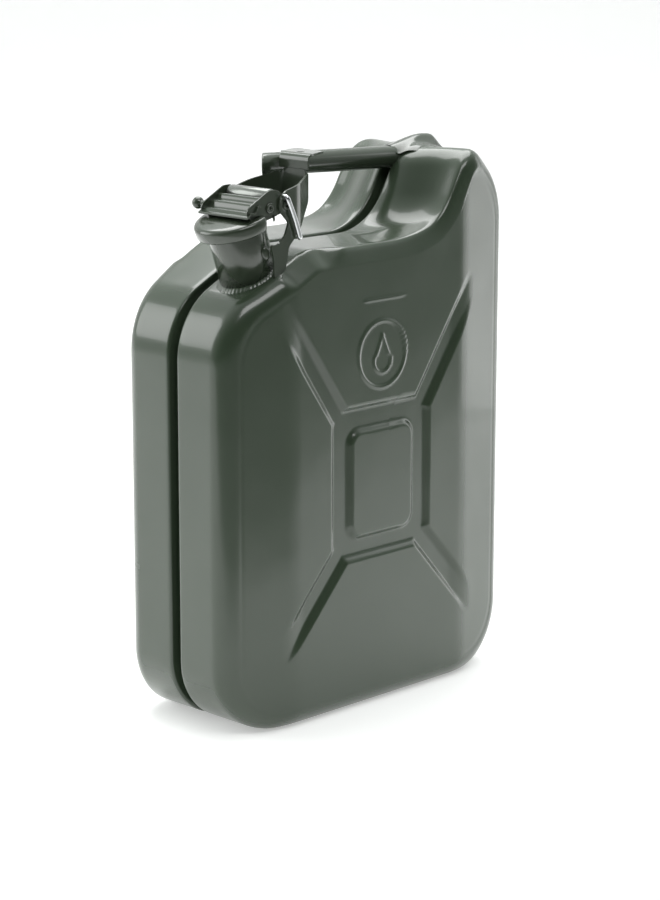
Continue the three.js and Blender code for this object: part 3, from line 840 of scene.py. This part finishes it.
def tab():
    """The tab: up from the back wall, round a bend, and out over the handle."""
    rows = [(BACK_X, z) for z in (391.6, 394, TAB_TOP - TAB_BEND)]
    for a in np.linspace(0, QUARTER, 9)[1:]:
        rows.append((BACK_X + TAB_BEND * (1 - math.cos(a)),
                     TAB_TOP - TAB_BEND + TAB_BEND * math.sin(a)))
    rows += [(x, TAB_TOP - (x + 47) * 0.038) for x in (-45, -42, -38, -34, -30, -26.5)]
    points, columns = [], 15
    for x, z in rows:
        reach = max(0.0, (x + 50) / 23.5)
        near = -39.2 + 10.5 * smooth(0.0, 1.1, reach)
        far = -13.0 + 5.4 * smooth(-0.1, 0.15, reach) + 8.5 * smooth(0.1, 1.0, reach)
        for k in range(columns):
            share = k / (columns - 1)
            points.append((x + 5.0 * share * smooth(0.6, 1, reach), near + (far - near) * share, z))
    return points, grid_faces(len(rows), columns, False)


tab_piece = piece("bracket_tab", *tab(), SMALL_PAINT, "can")
solid_sheet(tab_piece, SHEET)
tab_hole = moved(spun([(0, -9), (2.8, -9), (2.8, 9), (0, 9)], 32),
                 Matrix.Translation((-42.5, -22.5, TAB_TOP)))
rounded(cut(tab_piece, tab_hole), 0.3, 2, 50)
print("bracket", len(bracket_piece.data.vertices), "tab", len(tab_piece.data.vertices))

# %% [markdown]
# ## Hinge and link rivets
# Hollow rivets, spread over at the ends: a low round head with a dark hole in it.

# %% Rivets
def rivet(name, x, z, inner, outer, radius, head, side, body, node):
    profile = [(0, inner), (radius, inner), (radius, outer), (head - 0.5, outer),
               (head, outer + 0.35), (head - 0.2, outer + 0.8), (head - 0.9, outer + 1.1),
               (1.9, outer + 1.1), (1.5, outer + 0.8), (1.35, outer - 1.5), (0, outer - 1.5)]
    turn = Matrix.Translation((x, CLOSURE_Y, z)) @ Matrix.Rotation(-side * QUARTER, 4, "X")
    piece(name, *moved(spun(profile, 36), turn), SMALL_PAINT, body, node)


LINK_X, LINK_Z = -98.6, 370.4
for name, side in (("inner", 1), ("outer", -1)):
    rivet("hinge_rivet_" + name + "_head", HINGE_X, HINGE_Z, EAR_IN - 1, CHEEK_OUT + 0.1,
          2.2, 3.4, side, "can", "hinge_rivet_" + name)
    rivet("link_rivet_" + name + "_head", LINK_X, LINK_Z, ARM_IN - 0.3, ARM_OUT + 0.1,
          2.0, 3.6, side, "lever", "link_rivet_" + name)
print("rivets made")

# %% [markdown]
# ## Cap and its ears
# A round dished lid with a rolled rim. Its skirt runs back on both sides as flat ears to the hinge.
# The lid is cut away behind, where the ears and the lever need the room.

# %% Cap
CAP_SKIRT, CAP_SHEET = 8.5, 1.2
CAP_UP = NECK_LENGTH + 3.2
CAP_REAR = -88.3
cap_profile = [
    (0, CAP_SHEET + 1.5), (14, CAP_SHEET + 1.35), (21, CAP_SHEET + 1.0), (24.2, CAP_SHEET + 0.75),
    (26.0, CAP_SHEET + 0.35), (27.2, CAP_SHEET - 0.5), (27.85, CAP_SHEET - 1.7), (28.0, -2.2),
    (27.7, -CAP_SKIRT + 1.8), (27.3, -CAP_SKIRT + 1.1), (26.9, -CAP_SKIRT + 1.1),
    (26.6, -CAP_SKIRT + 1.6), (26.8, -2.0), (26.0, 0.0), (0, 0),
]
ear_outline = [(-116, 367.0), (-89.3, 372.1), (HINGE_X - 2.4, HINGE_Z + 4.6),
               (HINGE_X + 3, HINGE_Z + 4.6), (HINGE_X + 5.5, HINGE_Z), (HINGE_X + 3, HINGE_Z - 4.6),
               (HINGE_X - 8, HINGE_Z - 8), (-113, 358.5)]


def box_shape(x0, x1, y0, y1, z0, z1):
    return slab([(x0, z0), (x1, z0), (x1, z1), (x0, z1)], y0, y1)


cap_place = NECK @ Matrix.Translation((0, 0, CAP_UP))
cap_piece = piece("cap_lid", *moved(spun(cap_profile, 96), cap_place), SMALL_PAINT, "cap", "cap")
cap_middle = NECK_X - math.sin(NECK_TILT) * NECK_LENGTH
cut(cap_piece,
    moved(box_shape(cap_middle + 4, 0, EAR_OUT, 60, 300, 420), AT_CLOSURE),
    moved(box_shape(cap_middle + 4, 0, -60, -EAR_OUT, 300, 420), AT_CLOSURE),
    moved(box_shape(CAP_REAR, 0, -60, 60, 300, 420), AT_CLOSURE))
ears = joined(slab(round_corners(ear_outline, 2.5), EAR_IN, EAR_OUT),
              slab(round_corners(ear_outline, 2.5), -EAR_OUT, -EAR_IN))
rounded(piece("cap_ears", *moved(ears, AT_CLOSURE), SMALL_PAINT, "cap"), 0.3, 2, 50)
print("cap", len(cap_piece.data.vertices))

# %% [markdown]
# ## Lever
# Two flat arms inside the cheeks and a cross plate pressed into three ribs, which stiffen it and
# give the thumb a grip. The arms' edges are bevelled; the ribs are one wavy sheet.

# %% Lever
LEVER_FRONT, LEVER_HALF, WIDE_X = -121.0, 24.8, -108.0
arm_outline = [(HINGE_X + 5, HINGE_Z), (HINGE_X + 3, HINGE_Z + 4.6), (HINGE_X - 2, HINGE_Z + 7.5),
               (-92, 382.3), (-99, 382.2), (-117.5, 372.6), (-120.4, 368.2), (-118.0, 365.8),
               (-104, 365.6), (-98, 364.6), (HINGE_X - 3, HINGE_Z - 4.6),
               (HINGE_X + 3, HINGE_Z - 4.6)]


def ribbed_plate(x0, x1, half):
    """The wavy cross plate between two places along the can."""
    top, low = [], []
    for x in np.arange(x0, x1 + 0.01, 0.5):
        share = (x + 121) / 21.5
        ramp = 364.2 + 12.4 * smooth(-0.2, 1.1, share)
        wave = 1.25 * math.sin((share * 3 - 0.28) * 2 * math.pi) * smooth(0.05, 0.2, share)
        top.append((x, ramp + wave + 0.7))
        low.append((x, ramp + wave - 0.7))
    return slab(top + low[::-1], -half, half)


arms = joined(slab(round_corners(arm_outline, 1.8), ARM_IN, ARM_OUT),
              slab(round_corners(arm_outline, 1.8), -ARM_OUT, -ARM_IN))
lever_arms = piece("lever_arms", *moved(arms, AT_CLOSURE), SMALL_PAINT, "lever", "lever")
rounded(lever_arms, 0.3, 2, 50)
plate = joined(ribbed_plate(LEVER_FRONT + 0.3, WIDE_X, LEVER_HALF - 0.3),
               ribbed_plate(WIDE_X, -99.5, ARM_OUT - 0.1))
lever_plate = piece("lever_plate", *moved(plate, AT_CLOSURE), SMALL_PAINT, "lever")
rounded(lever_plate, 0.25, 2, 50)

# %% Roll, its pin and the grip knob
ROLL_X, ROLL_Z, ROLL_RADIUS, ROLL_HALF, ROLL_BORE = -93.6, 376.8, 5.8, 19.5, 4.35
AXLE_RADIUS, AXLE_HALF = 4.0, 21.5
KNOB_X, KNOB_Z = -114.6, 370.6

roll = rod(ROLL_RADIUS, -ROLL_HALF, ROLL_HALF, ROLL_X, ROLL_Z, 0.8, ROLL_BORE)
# The roll gets the lighter enamel, a painted sheen.
piece("roll_sleeve", *moved(roll, AT_CLOSURE), ROLL_SHEEN_PAINT, "lever", "lever_roll")
roll_pin = rod(AXLE_RADIUS, -AXLE_HALF, AXLE_HALF, ROLL_X, ROLL_Z, 0.6)
piece("roll_axle", *moved(roll_pin, AT_CLOSURE), SMALL_PAINT, "lever", "roll_pin")


def knob():
    """A ball turned on a short neck, with a flat on its nose."""
    profile = [(0, ARM_OUT + 0.2), (2.2, ARM_OUT + 0.2), (2.2, ARM_OUT + 1.6), (1.6, ARM_OUT + 2.4)]
    profile.append((1.7, 26.9))
    for a in np.linspace(-1.1, 1.25, 12):
        profile.append((4.3 * math.cos(a), 31.0 + 4.2 * math.sin(a)))
    profile.append((0, 35.0))
    turn = Matrix.Translation((KNOB_X, CLOSURE_Y, KNOB_Z)) @ Matrix.Rotation(-QUARTER, 4, "X")
    return moved(spun(profile, 40), turn)


piece("grip_knob", *knob(), SMALL_PAINT, "lever", "lever_knob")
print("lever", len(lever_plate.data.vertices))

# %% [markdown]
# ## Locking pin
# A bent wire of bright zinc: a short shank through the cheek, a tight bend, and a leg that hangs
# beside the bracket. It is a round section swept along its middle line.

# %% Locking pin
WIRE = 3.6
PIN_X, PIN_Z, PIN_Y = -86.5, 377.2, CLOSURE_Y - CHEEK_OUT - 3.2


def wire_path():
    shank_end = np.array([PIN_X, CLOSURE_Y - CHEEK_IN - 0.3, PIN_Z])
    corner = np.array([PIN_X, PIN_Y, PIN_Z])
    leg_end = np.array([PIN_X + 12.5, PIN_Y, PIN_Z - 30.0])
    leg = (leg_end - corner) / np.linalg.norm(leg_end - corner)
    out = [shank_end, shank_end + (0, -0.6, 0)]
    a, b = corner + (0, 2.6, 0), corner + leg * 2.6
    out += [a * (1 - t) ** 2 + corner * 2 * t * (1 - t) + b * t * t for t in np.linspace(0, 1, 10)]
    bulge = np.array([0.5, 0, 0.4])
    out += [b + (leg_end - b) * t + bulge * math.sin(math.pi * t) for t in np.linspace(0.08, 1, 14)]
    return out


def swept(line, radius, segments=20):
    """A round rod along a line, closed at both ends with a small rounding."""
    line = [np.array(p, float) for p in line]
    first, last = line[0], line[-1]
    ends = [(first, line[1] - first), (last, line[-2] - last)]
    line = [first, first + ends[0][1] * 0.12] + line[1:-1] + [last + ends[1][1] * 0.12, last]
    sizes = [0.72] + [1.0] * (len(line) - 2) + [0.72]
    points = []
    side = np.array([0.31, 0.17, 0.94])
    for i, p in enumerate(line):
        along = line[min(i + 1, len(line) - 1)] - line[max(i - 1, 0)]
        along = along / np.linalg.norm(along)
        side = side - along * (side @ along)
        side = side / np.linalg.norm(side)
        across = np.cross(along, side)
        for k in range(segments):
            a = 2 * math.pi * k / segments
            points.append(p + radius * sizes[i] * (side * math.cos(a) + across * math.sin(a)))
    faces = grid_faces(len(line), segments, True)
    faces += [tuple(range(segments)), tuple(range(len(points) - segments, len(points)))]
    return points, faces


pin = piece("locking_wire", *swept(wire_path(), WIRE / 2), ZINC, "locking_pin", "locking_pin")
print("locking pin", len(pin.data.vertices))

# %% [markdown]
# ## Handle and saddle
# A steel tube, cut at a slant in front, that runs back and slightly down into the hump. There its
# top is hammered out into a saddle: a low ridge with two wings that lie on the half shells and
# carry the pull of the hand to both sides of the weld.

# %% Handle
HANDLE_FRONT, HANDLE_REAR, HANDLE_RADIUS = -58.4, 86.0, 8.2
FRONT_Z, REAR_Z = 392.6, 387.2


def handle_line(x):
    share = (x - HANDLE_FRONT) / (HANDLE_REAR - HANDLE_FRONT)
    return np.array([x, 0.0, FRONT_Z + (REAR_Z - FRONT_Z) * share])


def handle():
    line = [handle_line(HANDLE_FRONT + d) for d in (0.0, 0.25, 0.9, 1.8)]
    line += [handle_line(x) for x in np.linspace(HANDLE_FRONT + 6, HANDLE_REAR - 1, 24)]
    radii = [HANDLE_RADIUS - 1.6, HANDLE_RADIUS - 0.7, HANDLE_RADIUS - 0.15, HANDLE_RADIUS]
    radii += [HANDLE_RADIUS] * 24
    segments, points = 56, []
    for p, r in zip(line, radii):
        flatten = smooth(66, 86, p[0])
        mitre = 1 - smooth(HANDLE_FRONT, HANDLE_FRONT + 18, p[0])
        for k in range(segments):
            a = 2 * math.pi * k / segments
            y = r * (1 + 0.12 * flatten) * math.cos(a)
            points.append((p[0] + y * mitre, y, p[2] + r * (1 - 0.1 * flatten) * math.sin(a)))
    faces = grid_faces(len(line), segments, True)
    faces += [tuple(range(segments)), tuple(range(len(points) - segments, len(points)))]
    return points, faces


handle_piece = piece("handle", *handle(), SMALL_PAINT, "can", "handle_tube")
handle_piece.data.polygons[-2].use_smooth = False


def rim_height(x):
    """Height of the hump's middle line, front lip to rear corner."""
    x = np.asarray(x, float)
    lip = HUMP - LIP_RADIUS + np.sqrt(np.maximum(LIP_RADIUS ** 2 - (x - HUMP_FRONT) ** 2, 0))
    rear = HUMP - REAR_RADIUS + np.sqrt(np.maximum(REAR_RADIUS ** 2 - (x - HUMP_FRONT) ** 2, 0))
    return np.where(x < HUMP_FRONT, lip, rear)


def saddle():
    """Rows along the hump; each row is an arch over the seam with a wing on both sides."""
    rows, columns = 40, 41
    points = []
    for i in range(rows):
        share = i / (rows - 1)
        x = 71 + 58 * share
        wing = 8.2 + 10.8 * smooth(0.0, 0.24, share) * (1 - 0.3 * smooth(0.4, 0.8, share))
        wing *= math.sqrt(max(0.0, 1 - max(0.0, (share - 0.55) / 0.45) ** 2)) + 0.001
        ground = max(float(rim_height(x)), 388.0) + 1.1
        crown = 395.6 + 6.1 * math.sin(math.pi * min(1.0, share * 0.92) ** 1.15) ** 1.2
        crown = max(crown - 10 * smooth(0.75, 1.0, share), ground + 0.3)
        for k in range(columns):
            v = 2 * k / (columns - 1) - 1
            arch = 0.5 + 0.5 * math.cos(math.pi * min(1.0, abs(v) * wing / 11.5))
            outer = max(0.0, abs(v) * wing - 10.5) / 8.5
            droop = 3.6 * outer ** 2 * (1 - smooth(0.35, 0.6, share))
            points.append((x, v * wing, ground + (crown - ground) * arch - droop))
    return points, grid_faces(rows, columns, False)


saddle_piece = piece("handle_saddle_wings", *saddle(), SMALL_PAINT, "can", "handle_saddle")
thick(saddle_piece, 1.5, 0.5)
print("handle", len(handle_piece.data.vertices), "saddle", len(saddle_piece.data.vertices))

# %% [markdown]
# ## Pieces whose CAD shape is already right
# The seam weld, the breather pipe and the gasket are plain turned or cut pieces. They keep their
# CAD mesh and only get a real finish.

# %% Carried-over CAD pieces
CARRIED = {"seam_weld": BODY_PAINT, "air_pipe": STEEL, "cap_gasket": RUBBER}

for node, finish in CARRIED.items():
    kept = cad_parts[node]
    kept.data.materials.clear()
    kept.data.materials.append(finish)
print("carried", sorted(CARRIED))

# %% [markdown]
# ## Studio
# A pale floor runs up into a pale wall in one curve. Its colour glows by itself, a painted light
# with no lamp behind it, and towards the front it is painted darker and glows less, a painted
# shade, so the can's front has something dark to reflect. Broad
# soft lights stand at the right, above and behind, with a weaker one above the front.

# %% Floor
FLOOR_FRONT, FLOOR_DEPTH, WALL_RISE, WALL_BEND, FLOOR_SIDE = -14.0, 2.6, 2.4, 0.9, 6
FADE_FROM, FADE_TO = 0.32, 0.58  # metres in front of the can


def floor():
    depth, rise, bend = FLOOR_DEPTH, WALL_RISE, WALL_BEND
    section = [(FLOOR_FRONT, 0.0)]
    for a in np.linspace(0, QUARTER, 12):
        section.append((depth + bend * math.sin(a), bend * (1 - math.cos(a))))
    section.append((depth + bend, rise))
    away = Vector((-back.x, -back.y, 0)).normalized()
    across = Vector((-away.y, away.x, 0))
    points = [away * y + across * x + Vector((0, 0, z)) for x in (-FLOOR_SIDE, FLOOR_SIDE)
              for y, z in section]
    mesh = bpy.data.meshes.new("floor")
    mesh.from_pydata([tuple(p) for p in points], [], grid_faces(2, len(section), False))
    mesh.shade_smooth()
    made = bpy.data.objects.new("floor", mesh)
    bpy.context.scene.collection.objects.link(made)
    material, shader, place = new_finish("paper", Roughness=0.6)
    # Painted light and shade: the floor's colour glows by itself, and towards the front it is
    # painted darker and glows less.
    forward = place.node("ShaderNodeVectorMath", {"operation": "DOT_PRODUCT"},
                         {0: place, 1: (-0.3, -0.95, 0)}, output=1)
    painted_dark_front = forward.node("ShaderNodeMapRange", {"interpolation_type": "SMOOTHSTEP"},
                        {"Value": forward, "From Min": FADE_FROM, "From Max": FADE_TO})
    place.feed(shader.inputs["Base Color"],
               mixed(painted_dark_front, (0.9, 0.9, 0.9, 1), (0.34, 0.34, 0.34, 1)))
    place.feed(shader.inputs["Emission Color"],
               mixed(painted_dark_front, (0.4, 0.4, 0.4, 1), (0.02, 0.02, 0.02, 1)))
    shader.inputs["Emission Strength"].default_value = 1.0
    mesh.materials.append(material)


floor()


# %% Lights
def soft_light(name, place, aim, width, height, power):
    lamp = bpy.data.lights.new(name, "AREA")
    lamp.shape = "RECTANGLE"
    lamp.size = width
    lamp.size_y = height
    lamp.energy = power
    made = bpy.data.objects.new(name, lamp)
    bpy.context.scene.collection.objects.link(made)
    made.location = place
    made.rotation_euler = (Vector(place) - Vector(aim)).to_track_quat("Z", "Y").to_euler()


MIDDLE_OF_CAN = (0, 0, 0.2)
soft_light("right_box", (0.86, -0.34, 0.42), MIDDLE_OF_CAN, 0.42, 0.84, 1.3)
soft_light("top_box", (0.5, 0.6, 2.1), MIDDLE_OF_CAN, 1.6, 1.6, 36)
soft_light("front_fill", (-0.5, -1.2, 2.0), MIDDLE_OF_CAN, 1.3, 0.7, 13)
soft_light("back_box", (-1.3, 1.5, 1.1), MIDDLE_OF_CAN, 1.2, 1.2, 14)

# The room is bright behind the can and dark on the side it is seen from.
world = bpy.data.worlds.new("studio")
world.use_nodes = True
tree = world.node_tree
heading = Wire(tree, tree.nodes.new("ShaderNodeTexCoord").outputs["Generated"])
away = heading.node("ShaderNodeVectorMath", {"operation": "DOT_PRODUCT"},
                    {0: heading, 1: (0.5, 0.85, 0.25)}, output=1)
glow = away.node("ShaderNodeMapRange", {"interpolation_type": "SMOOTHSTEP"},
                 {"Value": away, "From Min": -0.75, "From Max": 0.55,
                  "To Min": 0.04, "To Max": 1.0})
tree.nodes["Background"].inputs["Color"].default_value = (0.94, 1.0, 0.96, 1)
away.feed(tree.nodes["Background"].inputs["Strength"], glow)
bpy.context.scene.world = world
bpy.context.scene.view_settings.view_transform = "Standard"
